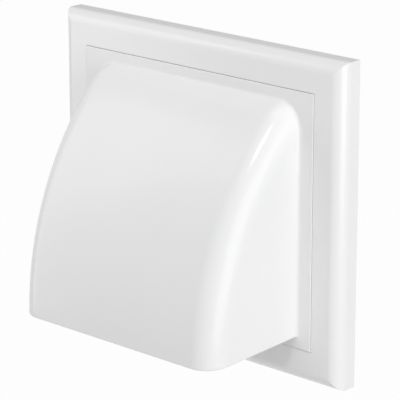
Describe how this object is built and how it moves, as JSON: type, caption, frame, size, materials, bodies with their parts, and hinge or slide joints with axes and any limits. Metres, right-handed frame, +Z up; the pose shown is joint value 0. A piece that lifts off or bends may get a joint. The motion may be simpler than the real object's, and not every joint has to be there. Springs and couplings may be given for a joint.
{
  "type": "cowled wall vent",
  "caption": "White plastic wall vent: a curved cowl open below snaps into a bullnosed wall plate whose rear spigot takes a round duct, closed by a hinged gravity flap.",
  "frame": {"origin": "on the spigot's axis, in the plane of the wall", "axes": "+Z up, +Y into the wall along the spigot, +X to the right as seen from outside"},
  "size_m": [0.172, 0.1075, 0.15],
  "materials": {
    "plate_plastic": "gloss white moulding",
    "cowl_plastic": "gloss white moulding",
    "flap_plastic": "satin white moulding",
    "pin_steel": "drawn stainless wire"
  },
  "bodies": {
    "housing": {"wall_plate": "plate_plastic", "cowl": "cowl_plastic", "hinge_pin": "pin_steel"},
    "flap": {"damper_flap": "flap_plastic"}
  },
  "joints": [
    {"name": "flap_swing", "type": "hinge", "parent": "housing", "child": "flap", "pos_m": [0, -0.0054, 0.0523], "axis": [-1, 0, 0], "range_deg": [0, 32]}
  ]
}
